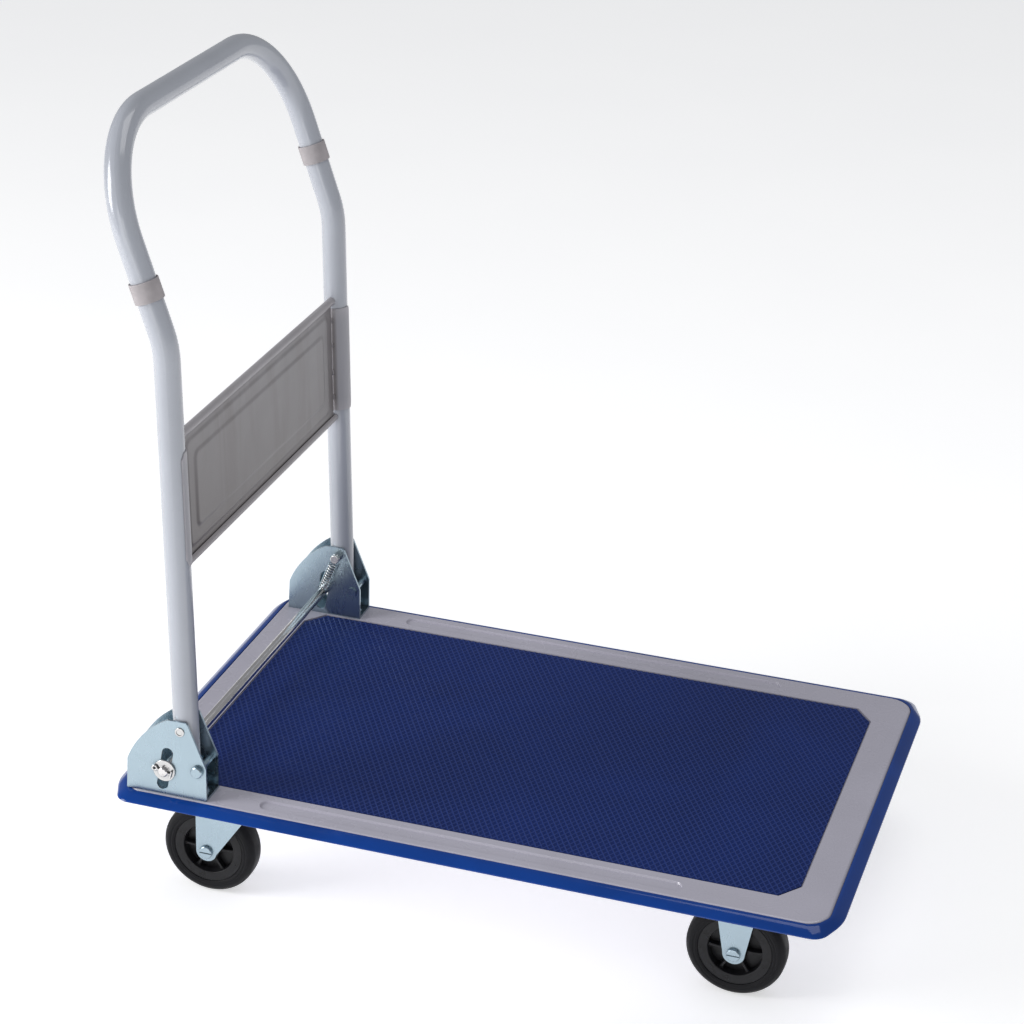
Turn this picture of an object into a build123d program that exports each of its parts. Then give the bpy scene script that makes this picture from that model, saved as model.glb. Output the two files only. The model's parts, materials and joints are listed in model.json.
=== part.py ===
from build123d import *
import os
from math import cos, hypot, pi, radians, sin

# Folding platform cart, in millimetres.
# +X points away from the handle, towards the front; +Y is the cart's left side; +Z is up.
# Everything is drawn about the platform's centre, then moved by frame_shift on export, so that the
# origin is on the floor under the middle of the cart's whole length.

os.makedirs("parts", exist_ok=True)

frame_shift = 7.0              # platform centre ahead of the origin

# ---- platform ----
deck_length = 714.0            # pressed pan, without the bumper
deck_width = 456.0
deck_corner = 25.0             # plan radius of the pan's corners
deck_edge_radius = 3.0         # rounding of the pan's top edge
sheet = 1.5                    # pan sheet thickness
flange_height = 16.0           # turned-down rim of the pan
mat_length = 640.0
mat_width = 380.0
mat_cut_x = 18.0               # cut corners of the mat
mat_cut_y = 23.0
mat_thickness = 1.6
mat_gap = 1.5                  # gap between mat and recess wall
recess_depth = 2.0             # mat recess, and the side beads
bead_length = 429.0
bead_width = 17.0

# ---- bumper round the platform ----
bumper_depth = 12.5
bumper_height = 7.8
bumper_drop = 0.8              # bumper top below the pan top
bumper_cut_x = 15.0            # flats across the bumper's corners
bumper_cut_y = 36.0
bumper_plan_radius = 16.0      # rounding where flats and sides meet
bumper_slope_out = 10.5        # sloped top: width, and how far it falls
bumper_slope_fall = 5.0
bumper_low_radius = 1.2

# ---- hat channels under the platform ----
wheel_radius = 50.0
caster_height = 2 * wheel_radius + 16.0    # floor to caster mounting face
channel_depth = 20.5
channel_sheet = 2.0
channel_web = 106.0            # width of the mounting web along X
channel_flange = 12.0
channel_length = 396.0

# ---- casters ----
caster_x = 260.0               # caster centres, fore and aft
fixed_y = 152.0                # fixed casters, at the front
swivel_y = 160.0               # swivel casters, under the handle
swivel_trail = 28.0            # axle behind the swivel axis
tyre_width = 27.0
tyre_depth = 13.0
rim_radius = wheel_radius - tyre_depth     # seat of the tyre on the rim
rim_recess_radius = rim_radius - 10.0
hub_radius = 12.0
spoke_count = 6
spoke_thickness = 3.5
web_thickness = 4.0
plate_length = 92.0            # caster top plate along X
plate_width = 66.0
plate_thickness = 2.5
bolt_spacing_x = 72.0
bolt_spacing_y = 46.0
fork_gap = 29.0                # inside width between the fork legs
fork_sheet = 2.5
fork_end_radius = 11.0
fork_top_width = 45.0
crown_gap = 4.0                # fork crown above the tyre
crown_radius = 27.0
race_radius = 25.0             # ball race of the swivel
ball_circle = 19.0
ball_radius = 2.5
ball_count = 16
kingpin_radius = 6.0
kingpin_head_radius = 10.0
kingpin_head = 3.0
axle_radius = 5.0
sleeve_radius = 6.5            # spacer tube that the wheel turns on
axle_head_radius = 6.8
axle_head = 3.5
axle_slot = 1.4                # slot across the axle's head
nut_height = 5.0
axle_nut_flats = 15.0
caster_bolt_radius = 4.0
caster_bolt_flats = 13.0
caster_nut = 6.5

# ---- hinge brackets ----
pivot_x = -291.8               # handle pivot axis
pivot_height = 73.2            # above the pan top
bracket_sheet = 2.5
bracket_gap = 26.4             # inside width between the cheeks
bracket_rear = 58.5            # behind the pivot
bracket_front = 27.1           # ahead of the pivot
bracket_top = 10.8             # above the pivot
cheek_rear_height = 33.6
cheek_front_height = 35.9
bracket_bolt_rear = 42.0
bracket_bolt_front = 17.0
bracket_bolt_radius = 3.0
pin_radius = 5.0
pin_outer_end = 1.2            # pivot pin past the outer cheek
pin_inner_end = 9.0            # pivot pin past the inner cheek, where the spring hooks on
spring_gap = 0.5               # between the spring's coil and the cheek
pin_recess_radius = 3.4        # shallow recess in the pin's outer end
pin_recess = 0.6
stop_pin_radius = 4.0
stop_head_radius = 6.0
stop_head = 4.2                # outer head; the inner end is a flat rivet
stop_rivet = 1.8

# ---- handle ----
tube_radius = 12.7
tube_wall = 1.5
leg_lean = 1.65                # degrees back from vertical
neck_lean = 19.1
leg_length = 396.8             # pivot to the bend
neck_length = 206.8            # bend to the grip's centreline
bend_radius = 100.0
corner_radius = 104.0          # from neck to grip
leg_stub = 41.5                # leg below the pivot
bush_radius = 7.0
ring_height = 20.0
ring_wall = 1.8
ring_left_along_neck = 67.0
ring_right_along_neck = 56.0
panel_low = 163.0              # panel edges, measured up the leg from the pivot
panel_high = 305.0
panel_sheet = 1.2
panel_rod_radius = 4.25
wrap_inset = 12.5              # flange ends inside the panel's edges
wrap_past_front = 25.0         # degrees that the flange wraps past the leg's front
wrap_gap = 0.1                 # between flange and leg, away from the welds
emboss_depth = 1.2             # each step of the embossed field
emboss_insets = (14.0, 31.0)   # edges of the two steps, in from the legs
emboss_closer = 4.0            # and this much nearer to the rolled edges
emboss_corner = 6.0

# ---- release bar ----
bar_radius = 5.0
bar_back = 17.0                # bar behind and below the pivot, at rest
bar_below = 45.7
bar_half_length = 231.2
slot_width = 12.0
slot_up = 19.5                 # slot centres above and below the bar at rest
slot_down = 16.5
slot_tilt = 9.9                # degrees, top leaning forward
washer_radius = 11.5
washer_thickness = 2.0
cotter_radius = 1.0
cotter_eye = 2.4               # ring at the closed end, and its wire radius
cotter_eye_wire = 0.95
cotter_gap = 0.4               # between split pin and washer
cotter_turn = -75.0            # degrees from upright, the eye going back
spring_radius = 4.7
spring_wire = 0.6              # wire radius

# ---- clearances ----
running = 0.05                 # radial, pin in a bore
side_play = 0.2
bolt_play = 0.2

# ---- derived places ----
channel_top = caster_height + channel_depth
deck_top = channel_top + sheet + recess_depth
leg_y = deck_width / 2 - bracket_gap / 2 - bracket_sheet - 3.2
cheek_inner = leg_y - bracket_gap / 2 - bracket_sheet
cheek_outer = leg_y + bracket_gap / 2 + bracket_sheet
pivot_z = deck_top + pivot_height
bar_x = pivot_x - bar_back
bar_z = pivot_z - bar_below
axle_z = wheel_radius
crown_low = 2 * wheel_radius + crown_gap
crown_high = crown_low + fork_sheet
plate_low = caster_height - plate_thickness
swivel_axle_x = -caster_x - swivel_trail
SIDES = {"left": 1, "right": -1}


def tube_y(radius, x, z, y_from, y_to, bore=0.0):
    """Round bar or tube along Y."""
    length = abs(y_to - y_from)
    place = Pos(x, (y_from + y_to) / 2, z) * Rot(90, 0, 0)
    body = place * Cylinder(radius, length)
    return body - place * Cylinder(bore, length) if bore else body


def tube_z(radius, x, y, z_from, z_to, bore=0.0):
    """Round bar or tube along Z."""
    length = abs(z_to - z_from)
    place = Pos(x, y, (z_from + z_to) / 2)
    body = place * Cylinder(radius, length)
    return body - place * Cylinder(bore, length) if bore else body


def slab_y(profile, y_from, y_to):
    """A profile drawn in X and Z, made thick along Y."""
    return Pos(0, max(y_from, y_to), 0) * extrude(Plane.XZ * profile, abs(y_to - y_from))


def block(x_from, x_to, y_from, y_to, z_from, z_to):
    """A box between two corners."""
    centre = Pos((x_from + x_to) / 2, (y_from + y_to) / 2, (z_from + z_to) / 2)
    return centre * Box(abs(x_to - x_from), abs(y_to - y_from), abs(z_to - z_from))


def polygon(points):
    return make_face(Polyline(points, close=True))


def octagon(length, width, cut_x, cut_y):
    """A rectangle in plan with its four corners cut off."""
    half_x = length / 2
    half_y = width / 2
    quarter = [(half_x, half_y - cut_y), (half_x - cut_x, half_y)]
    points = quarter + [(-x, y) for x, y in reversed(quarter)]
    points += [(-x, -y) for x, y in quarter] + [(x, -y) for x, y in reversed(quarter)]
    return polygon(points)


def hexagon_z(flats, x, y, z_from, z_to):
    """Hexagonal bolt head or nut with its axis along Z."""
    sketch = RegularPolygon(flats / 2, 6, major_radius=False)
    return Pos(x, y, min(z_from, z_to)) * extrude(sketch, abs(z_to - z_from))


def hexagon_y(flats, x, z, y_from, y_to):
    sketch = Pos(x, z) * RegularPolygon(flats / 2, 6, major_radius=False)
    return slab_y(sketch, y_from, y_to)


def bracket_bolt_places(side):
    return [(pivot_x - bracket_bolt_rear, side * leg_y), (pivot_x + bracket_bolt_front, side * leg_y)]


def caster_bolt_places(x, y):
    return [(x + i * bolt_spacing_x / 2, y + j * bolt_spacing_y / 2) for i in (-1, 1) for j in (-1, 1)]


def casters():
    """Every caster's end, side name, centre X and centre Y."""
    for side, sign in SIDES.items():
        yield "front", side, caster_x, sign * fixed_y
        yield "rear", side, -caster_x, sign * swivel_y


# ---------------------------------------------------------------- platform

def deck_pan():
    low = deck_top - flange_height
    outline = RectangleRounded(deck_length, deck_width, deck_corner)
    outer = Pos(0, 0, low) * extrude(outline, flange_height)
    outer = fillet(outer.edges().group_by(Axis.Z)[-1], deck_edge_radius)
    inside = RectangleRounded(deck_length - 2 * sheet, deck_width - 2 * sheet, deck_corner - sheet)
    pan = outer - Pos(0, 0, low) * extrude(inside, flange_height - sheet)
    hollow = octagon(mat_length + 2 * mat_gap, mat_width + 2 * mat_gap, mat_cut_x, mat_cut_y)
    around = offset(hollow, sheet)
    pan += Pos(0, 0, channel_top) * extrude(around, recess_depth + sheet / 2)
    pan -= Pos(0, 0, deck_top - recess_depth) * extrude(hollow, recess_depth)
    for sign in SIDES.values():
        bead = SlotOverall(bead_length + 2 * sheet, bead_width + 2 * sheet)
        pan += Pos(0, sign * leg_y, channel_top) * extrude(bead, recess_depth + sheet / 2)
        groove = Pos(0, sign * leg_y, deck_top) * SlotOverall(bead_length, bead_width)
        pan -= extrude(groove, -recess_depth, taper=30)
        for x, y in bracket_bolt_places(sign):
            pan -= tube_z(bracket_bolt_radius + bolt_play, x, y, low, deck_top)
    return pan


def deck_mat():
    sketch = octagon(mat_length, mat_width, mat_cut_x, mat_cut_y)
    return Pos(0, 0, deck_top - recess_depth) * extrude(sketch, mat_thickness)


def bumper():
    """Extruded strip round the pan: a sloped top down to a blunt nose, mitred across the corners."""
    length = deck_length + 2 * bumper_depth
    width = deck_width + 2 * bumper_depth
    outline = octagon(length, width, bumper_cut_x, bumper_cut_y)
    outline = fillet(outline.vertices(), bumper_plan_radius)
    ring = extrude(outline, bumper_height)
    top_face = ring.faces().sort_by(Axis.Z)[-1]
    ring = chamfer(top_face.edges(), bumper_slope_out, bumper_slope_fall, reference=top_face)
    ring = fillet(ring.edges().group_by(Axis.Z)[0], bumper_low_radius)
    ring -= extrude(RectangleRounded(deck_length, deck_width, deck_corner), bumper_height)
    return Pos(0, 0, deck_top - bumper_drop - bumper_height) * ring


def cross_channel(x, y):
    """Hat channel across the platform that carries two casters."""
    web = channel_web / 2
    lip = web + channel_flange
    low = caster_height
    outside = [(-lip, channel_top), (-lip, channel_top - channel_sheet), (-web, channel_top - channel_sheet)]
    outside += [(-web, low), (web, low), (web, channel_top - channel_sheet)]
    outside += [(lip, channel_top - channel_sheet), (lip, channel_top)]
    inner = web - channel_sheet
    outside += [(inner, channel_top), (inner, low + channel_sheet), (-inner, low + channel_sheet)]
    outside += [(-inner, channel_top)]
    channel = slab_y(polygon([(x + px, pz) for px, pz in outside]), -channel_length / 2, channel_length / 2)
    for sign in SIDES.values():
        for bolt_x, bolt_y in caster_bolt_places(x, sign * y):
            channel -= tube_z(caster_bolt_radius + bolt_play, bolt_x, bolt_y, low, low + channel_sheet)
        channel -= tube_z(kingpin_radius + 1, x, sign * y, low, low + channel_sheet)
    return channel


# ---------------------------------------------------------------- hinge brackets

def cheek_profile():
    rear = -bracket_rear
    front = bracket_front
    top = pivot_height + bracket_top
    outline = [
        Line((rear, 0), (rear + 1.5, cheek_rear_height)),
        ThreePointArc((rear + 1.5, cheek_rear_height), (rear + 17, 60.5), (-13, top)),
        Line((-13, top), (7.3, top)),
        Line((7.3, top), (front, cheek_front_height)),
        Line((front, cheek_front_height), (front, 0)),
        Line((front, 0), (rear, 0)),
    ]
    face = make_face(outline)
    corners = face.vertices().filter_by(lambda v: v.Y > cheek_front_height - 5)
    return Pos(pivot_x, deck_top) * fillet(corners, 4)


def slot_profile(width, x=bar_x, z=bar_z):
    centre = (slot_up - slot_down) / 2
    place = Pos(x, z) * Rot(0, 0, 90 - slot_tilt) * Pos(centre, 0)
    return place * SlotCenterToCenter(slot_up + slot_down, width)


def hinge_bracket(side):
    """Two upright cheeks joined by a base plate on the pan."""
    bracket = None
    for low, high in ((cheek_inner, cheek_inner + bracket_sheet),
                      (cheek_outer - bracket_sheet, cheek_outer)):
        cheek = slab_y(cheek_profile(), side * low, side * high)
        bracket = cheek if bracket is None else bracket + cheek
    bracket += block(pivot_x - bracket_rear, pivot_x + bracket_front, side * cheek_inner, side * cheek_outer,
                     deck_top, deck_top + bracket_sheet)
    bracket -= slab_y(slot_profile(slot_width), side * cheek_inner, side * cheek_outer)
    bracket -= tube_y(pin_radius, pivot_x, pivot_z, side * cheek_inner, side * cheek_outer)
    stop_x, stop_z = stop_place()
    bracket -= tube_y(stop_pin_radius, stop_x, stop_z, side * cheek_inner, side * cheek_outer)
    for x, y in bracket_bolt_places(side):
        bracket -= tube_z(bracket_bolt_radius + bolt_play, x, y, deck_top, deck_top + bracket_sheet)
    return bracket


def stop_place():
    """The stop pin just touches the front of the leg, at the leg's lower end."""
    ahead = tube_radius + stop_pin_radius + 0.1
    below = leg_stub - 0.5
    lean = radians(leg_lean)
    return (pivot_x + ahead * cos(lean) + below * sin(lean), pivot_z + ahead * sin(lean) - below * cos(lean))


def bracket_bolts():
    """Dome-headed bolts through the brackets and the pan, each with its nut."""
    solids = []
    head_low = deck_top + bracket_sheet
    for sign in SIDES.values():
        for x, y in bracket_bolt_places(sign):
            head = Pos(x, y, head_low) * extrude(Circle(6), 3.2, taper=25)
            bolt = head + tube_z(bracket_bolt_radius, x, y, head_low, deck_top - sheet - nut_height - 2)
            nut_top = deck_top - sheet
            nut = hexagon_z(10, x, y, nut_top - nut_height, nut_top)
            nut -= tube_z(bracket_bolt_radius, x, y, nut_top - nut_height, nut_top)
            solids += [bolt, nut]
    return solids


def pivot_pins():
    """Handle pivots; the inner end has a groove for the spring's hook."""
    pins = []
    for sign in SIDES.values():
        pin = tube_y(pin_radius, pivot_x, pivot_z, sign * (cheek_inner - pin_inner_end),
                     sign * (cheek_outer + pin_outer_end))
        pin = fillet(pin.edges(), 0.8)
        groove_y = spring_y()
        groove = tube_y(pin_radius + 1, pivot_x, pivot_z, sign * (groove_y - 1), sign * (groove_y + 1),
                        bore=pin_radius - 1.2)
        end = sign * (cheek_outer + pin_outer_end)
        recess = tube_y(pin_recess_radius, pivot_x, pivot_z, end, end - sign * pin_recess)
        pins.append(pin - groove - recess)
    return pins


def stop_pins():
    """Headed stop pins ahead of the legs, also spacers between the cheeks."""
    x, z = stop_place()
    pins = []
    for sign in SIDES.values():
        pin = tube_y(stop_pin_radius, x, z, sign * cheek_inner, sign * cheek_outer)
        end = sign * (cheek_outer + stop_head)
        head = tube_y(stop_head_radius, x, z, sign * cheek_outer, end)
        pin += chamfer(head.faces().sort_by(Axis((0, 0, 0), (0, sign, 0)))[-1].edges(), 0.9)
        pin += tube_y(stop_head_radius - 1, x, z, sign * (cheek_inner - stop_rivet), sign * cheek_inner)
        pins.append(pin)
    return pins


# ---------------------------------------------------------------- release bar

def release_bar():
    bar = tube_y(bar_radius, bar_x, bar_z, -bar_half_length, bar_half_length)
    bar = chamfer(bar.edges(), 1)
    for sign in SIDES.values():
        bar -= cotter_place(sign) * Cylinder(cotter_radius, 4 * bar_radius)
        groove = tube_y(bar_radius + 1, bar_x, bar_z, sign * (spring_y() - 1), sign * (spring_y() + 1),
                        bore=bar_radius - 1.2)
        bar -= groove
    return bar


def cotter_place(sign):
    """Where a split pin crosses the bar, with Z from its tails at the front to its eye behind."""
    y = cheek_outer + side_play + washer_thickness + cotter_radius + cotter_gap
    return Pos(bar_x, sign * y, bar_z) * Rot(0, cotter_turn, 0)


def bar_washers():
    near = cheek_outer + side_play
    far = near + washer_thickness
    return [tube_y(washer_radius, bar_x, bar_z, s * near, s * far, bore=bar_radius) for s in SIDES.values()]


def cotter_pins():
    """Split pins outside the washers: a leg with an eye behind and two turned-out tails ahead."""
    pins = []
    reach = bar_radius + 3
    for sign in SIDES.values():
        leg = Cylinder(cotter_radius, 2 * reach)
        eye = Pos(0, 0, reach + 1.6) * Rot(90, 0, 0) * Torus(cotter_eye, cotter_eye_wire)
        tails = Pos(0, 0, -reach) * Rot(0, 90, 0) * Cylinder(cotter_radius, 8)
        pins.append(cotter_place(sign) * (leg + eye + tails))
    return pins


def spring_y():
    return cheek_inner - spring_gap - spring_radius


def return_spring(side):
    """Extension spring from the pivot pin to the bar: its coil as one sleeve, with a hook at each end."""
    y = side * spring_y()
    span = hypot(bar_back, bar_below)
    frame = Plane(origin=(pivot_x, y, pivot_z), x_dir=(0, 1, 0), z_dir=(-bar_back, 0, -bar_below))
    hook = pin_radius - 1.2 + spring_wire
    coil_from = hook + 3
    coil_to = span - hook - 3
    coil = Pos(0, 0, (coil_from + coil_to) / 2) * Cylinder(spring_radius, coil_to - coil_from)
    hollow = Cylinder(spring_radius - 2 * spring_wire, coil_to - coil_from)
    coil -= Pos(0, 0, (coil_from + coil_to) / 2) * hollow
    body = coil
    for along, coil_end, way in ((0, coil_from, 1), (span, coil_to, -1)):
        body += Pos(0, 0, along) * Rot(0, 90, 0) * Torus(hook, spring_wire)
        shank = abs(coil_end - along) - hook + spring_wire
        body += Pos(0, 0, along + way * (hook + shank / 2 - spring_wire / 2)) * Cylinder(spring_wire, shank)
        cap = Cylinder(spring_radius - spring_wire, spring_wire)
        cap = Pos(0, 0, coil_end + way * spring_wire / 2) * cap
        body += cap
    return frame * body


# ---------------------------------------------------------------- handle

def handle_points():
    """Centreline in X and Z: the leg's lower end, the bend and the grip."""
    lean = radians(leg_lean)
    neck = radians(neck_lean)
    foot = (pivot_x + leg_stub * sin(lean), pivot_z - leg_stub * cos(lean))
    bend = (pivot_x - leg_length * sin(lean), pivot_z + leg_length * cos(lean))
    grip = (bend[0] - neck_length * sin(neck), bend[1] + neck_length * cos(neck))
    return foot, bend, grip


def bent_bar(radius, path):
    start = Plane(path @ 0, z_dir=path % 0)
    return sweep(start * Circle(radius), path)


def handle_tube():
    """One bent tube: leg, neck, grip, neck, leg, with a hole through each leg for its pivot bush."""
    foot, bend, grip = handle_points()
    points = [(grip[0], 0, grip[1])] + [(x, leg_y, z) for x, z in (grip, bend, foot)]
    path = FilletPolyline(*points, radius=[corner_radius, bend_radius])
    half = bent_bar(tube_radius, path) - bent_bar(tube_radius - tube_wall, path)
    half -= tube_y(bush_radius, pivot_x, pivot_z, leg_y - 2 * tube_radius, leg_y + 2 * tube_radius)
    return half + mirror(half, about=Plane.XZ)


def pivot_bushes():
    half = bracket_gap / 2 - side_play
    return [tube_y(bush_radius, pivot_x, pivot_z, s * (leg_y - half), s * (leg_y + half),
                   bore=pin_radius + running) for s in SIDES.values()]


def leg_frame():
    """Frame at the pivot with its Z up the leg and its X to the front."""
    return Pos(pivot_x, 0, pivot_z) * Rot(0, -leg_lean, 0)


def handle_panel():
    """Pressed sheet with rolled edges, a flange wrapped on each leg and an embossed field."""
    inside = leg_y - tube_radius
    low = panel_low + panel_rod_radius
    high = panel_high - panel_rod_radius
    middle = (low + high) / 2
    half_sheet = panel_sheet / 2
    panel = block(-half_sheet, half_sheet, -inside, inside, low, high)
    for step, inset in enumerate(emboss_insets):
        field_height = high - low - 2 * (inset - emboss_closer)
        field = RectangleRounded(2 * (inside - inset), field_height, emboss_corner)
        raised = Plane(origin=(0, 0, middle), x_dir=(0, 1, 0), z_dir=(1, 0, 0)) * field
        depth = emboss_depth * (step + 1)
        panel += extrude(raised, depth + half_sheet, taper=35)
        panel -= Pos(-panel_sheet, 0, 0) * extrude(raised, depth + half_sheet, taper=35)
    wrap_from = panel_low + wrap_inset
    wrap_to = panel_high - wrap_inset
    for along in (low, high):
        panel += tube_y(panel_rod_radius, 0, along, -inside, inside)
    for sign in SIDES.values():
        panel += leg_wrap(sign, wrap_from, wrap_to)
        legs = Pos(0, sign * leg_y, 0) * Cylinder(tube_radius, 4 * panel_high)
        panel -= legs
    return leg_frame() * panel


def leg_wrap(sign, low, high):
    """Part-round flange on the leg, from its inner side round its front."""
    bore = tube_radius + wrap_gap
    band = tube_z(bore + panel_sheet, 0, sign * leg_y, low, high, bore=bore)
    first = -90 if sign > 0 else -wrap_past_front
    turn = 90 + wrap_past_front
    reach = 2 * tube_radius
    angles = [radians(first + turn * share) for share in (0, 0.5, 1)]
    wedge = polygon([(0, 0)] + [(reach * cos(a), reach * sin(a)) for a in angles])
    return band & Pos(0, sign * leg_y, low) * extrude(wedge, high - low)


def grip_ring(side, along):
    """Band round the neck."""
    bend_x, bend_z = handle_points()[1]
    place = Pos(bend_x, side * leg_y, bend_z) * Rot(0, -neck_lean, 0) * Pos(0, 0, along)
    ring = Cylinder(tube_radius + ring_wall, ring_height)
    ring = chamfer(ring.edges(), 0.6)
    return place * (ring - Cylinder(tube_radius, ring_height))


# ---------------------------------------------------------------- casters

def tyre():
    half = tyre_width / 2
    points = [(rim_radius, -half + 1.5), (rim_radius + 6, -half), (wheel_radius - 3, -half + 1.5),
              (wheel_radius, -half + 6), (wheel_radius, half - 6), (wheel_radius - 3, half - 1.5),
              (rim_radius + 6, half), (rim_radius, half - 1.5)]
    face = polygon(points)
    face = fillet(face.vertices().filter_by(lambda v: v.X > rim_radius + 8), 4)
    return revolve(face, Axis.Y)


def rim():
    """Moulded wheel centre: hub, web, spokes and the band that carries the tyre."""
    half = tyre_width / 2 - 1.5
    hub_half = fork_gap / 2 - side_play
    band = tube_y(rim_radius, 0, 0, -half, half, bore=rim_recess_radius)
    hub = tube_y(hub_radius, 0, 0, -hub_half, hub_half)
    web = tube_y(rim_recess_radius + 1, 0, 0, -web_thickness / 2, web_thickness / 2)
    body = band + hub + web
    reach = rim_recess_radius + 1 - hub_radius / 2
    for i in range(spoke_count):
        spoke = Pos(hub_radius / 2 + reach / 2, 0, 0) * Box(reach, 2 * (half - 2), spoke_thickness)
        body += Rot(0, i * 360 / spoke_count, 0) * spoke
    return body - tube_y(sleeve_radius + running, 0, 0, -hub_half, hub_half)


def wheel_sleeve():
    return tube_y(sleeve_radius, 0, 0, -fork_gap / 2, fork_gap / 2, bore=axle_radius)


def wheel_axle():
    """Axle bolt across the fork, with a dome end on the outer side and a nut on the inner."""
    face = fork_gap / 2 + fork_sheet
    bolt = tube_y(axle_radius, 0, 0, -face - nut_height - 2, face)
    head = tube_y(axle_head_radius, 0, 0, face, face + axle_head)
    head = fillet(head.edges().group_by(Axis.Y)[-1], 1.5)
    reach = axle_head_radius + 1
    head -= block(-reach, reach, face + axle_head - 1, face + axle_head, -axle_slot / 2, axle_slot / 2)
    nut = hexagon_y(axle_nut_flats, 0, 0, -face - nut_height, -face)
    nut -= tube_y(axle_radius, 0, 0, -face - nut_height, -face)
    return [bolt + head, nut]


def top_plate(x, y):
    sketch = RectangleRounded(plate_length, plate_width, 8)
    plate = Pos(x, y, plate_low) * extrude(sketch, plate_thickness)
    for bolt_x, bolt_y in caster_bolt_places(x, y):
        plate -= tube_z(caster_bolt_radius + bolt_play, bolt_x, bolt_y, plate_low, caster_height)
    return plate


def fixed_leg_profile(x):
    """Tapered fork leg with a round lower end at the axle."""
    half = fork_top_width / 2
    end = fork_end_radius
    outline = polygon([(x - half, plate_low), (x - end, axle_z), (x + end, axle_z), (x + half, plate_low)])
    return outline + Pos(x, axle_z) * Circle(end)


def fixed_fork(x, y):
    """Top plate and two tapered legs, bent from one sheet."""
    fork = top_plate(x, y)
    for way in (-1, 1):
        near = y + way * fork_gap / 2
        fork += slab_y(fixed_leg_profile(x), near, near + way * fork_sheet)
    return fork - tube_y(axle_radius, x, axle_z, y - 20, y + 20)


def swivel_plate(x, y):
    """Mounting plate with the upper ball race."""
    race_low = crown_high + 2 * ball_radius - 1
    plate = top_plate(x, y) + tube_z(race_radius, x, y, race_low, plate_low)
    plate -= tube_z(kingpin_radius, x, y, race_low, caster_height)
    track = Pos(x, y, ball_level()) * Torus(ball_circle, ball_radius + running)
    return plate - track


def ball_level():
    return crown_high + ball_radius - 0.5


def swivel_balls(x, y):
    balls = []
    for i in range(ball_count):
        turn = 2 * pi * i / ball_count
        place = Pos(x + ball_circle * cos(turn), y + ball_circle * sin(turn), ball_level())
        balls.append(place * Sphere(ball_radius))
    return balls


def swivel_leg_profile():
    """Fork leg that trails behind the swivel axis: upright rear edge, raked front edge."""
    end = fork_end_radius
    axle = swivel_axle_x
    front = -caster_x + crown_radius - 6
    outline = polygon([(axle - end, crown_low), (axle - end, axle_z),
                       (axle + end, axle_z - 2), (front, crown_low)])
    return outline + Pos(axle, axle_z) * Circle(end)


def swivel_fork(x, y):
    """Crown with the lower race, and two trailing legs."""
    outer = fork_gap / 2 + fork_sheet
    rear = swivel_axle_x - fork_end_radius
    crown = tube_z(crown_radius, x, y, crown_low, crown_high)
    crown += block(rear, x + crown_radius - 6, y - outer, y + outer, crown_low, crown_high)
    for way in (-1, 1):
        near = y + way * fork_gap / 2
        crown += slab_y(swivel_leg_profile(), near, near + way * fork_sheet)
    crown -= tube_z(kingpin_radius + running, x, y, crown_low, crown_high)
    crown -= Pos(x, y, ball_level()) * Torus(ball_circle, ball_radius)
    return crown - tube_y(axle_radius, swivel_axle_x, axle_z, y - 20, y + 20)


def kingpin(x, y):
    """Rivet that holds the fork under the plate."""
    pin = tube_z(kingpin_radius, x, y, crown_low - side_play, caster_height + 1)
    head_high = crown_low - side_play
    return pin + tube_z(kingpin_head_radius, x, y, head_high - kingpin_head, head_high)


def caster_bolts():
    """Hex bolts up through the caster plates and the channels."""
    bolts = []
    for _, _, x, y in casters():
        for bolt_x, bolt_y in caster_bolt_places(x, y):
            head = hexagon_z(caster_bolt_flats, bolt_x, bolt_y, plate_low - 5.3, plate_low)
            shank_top = caster_height + channel_sheet + 9
            bolts.append(head + tube_z(caster_bolt_radius, bolt_x, bolt_y, plate_low, shank_top))
    return bolts


def caster_nuts():
    nuts = []
    low = caster_height + channel_sheet
    for _, _, x, y in casters():
        for bolt_x, bolt_y in caster_bolt_places(x, y):
            nut = hexagon_z(caster_bolt_flats, bolt_x, bolt_y, low, low + caster_nut)
            nuts.append(nut - tube_z(caster_bolt_radius, bolt_x, bolt_y, low, low + caster_nut))
    return nuts


# ---------------------------------------------------------------- assembly

parts = {
    "deck_pan": deck_pan(),
    "deck_mat": deck_mat(),
    "bumper": bumper(),
    "front_channel": cross_channel(caster_x, fixed_y),
    "rear_channel": cross_channel(-caster_x, swivel_y),
    "bracket_bolts": bracket_bolts(),
    "pivot_pins": pivot_pins(),
    "stop_pins": stop_pins(),
    "release_bar": release_bar(),
    "bar_washers": bar_washers(),
    "cotter_pins": cotter_pins(),
    "handle_tube": handle_tube(),
    "pivot_bushes": pivot_bushes(),
    "handle_panel": handle_panel(),
    "grip_ring_left": grip_ring(1, ring_left_along_neck),
    "grip_ring_right": grip_ring(-1, ring_right_along_neck),
    "caster_bolts": caster_bolts(),
    "caster_nuts": caster_nuts(),
}
for side, sign in SIDES.items():
    parts["hinge_bracket_" + side] = hinge_bracket(sign)
    parts["return_spring_" + side] = return_spring(sign)

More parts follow.
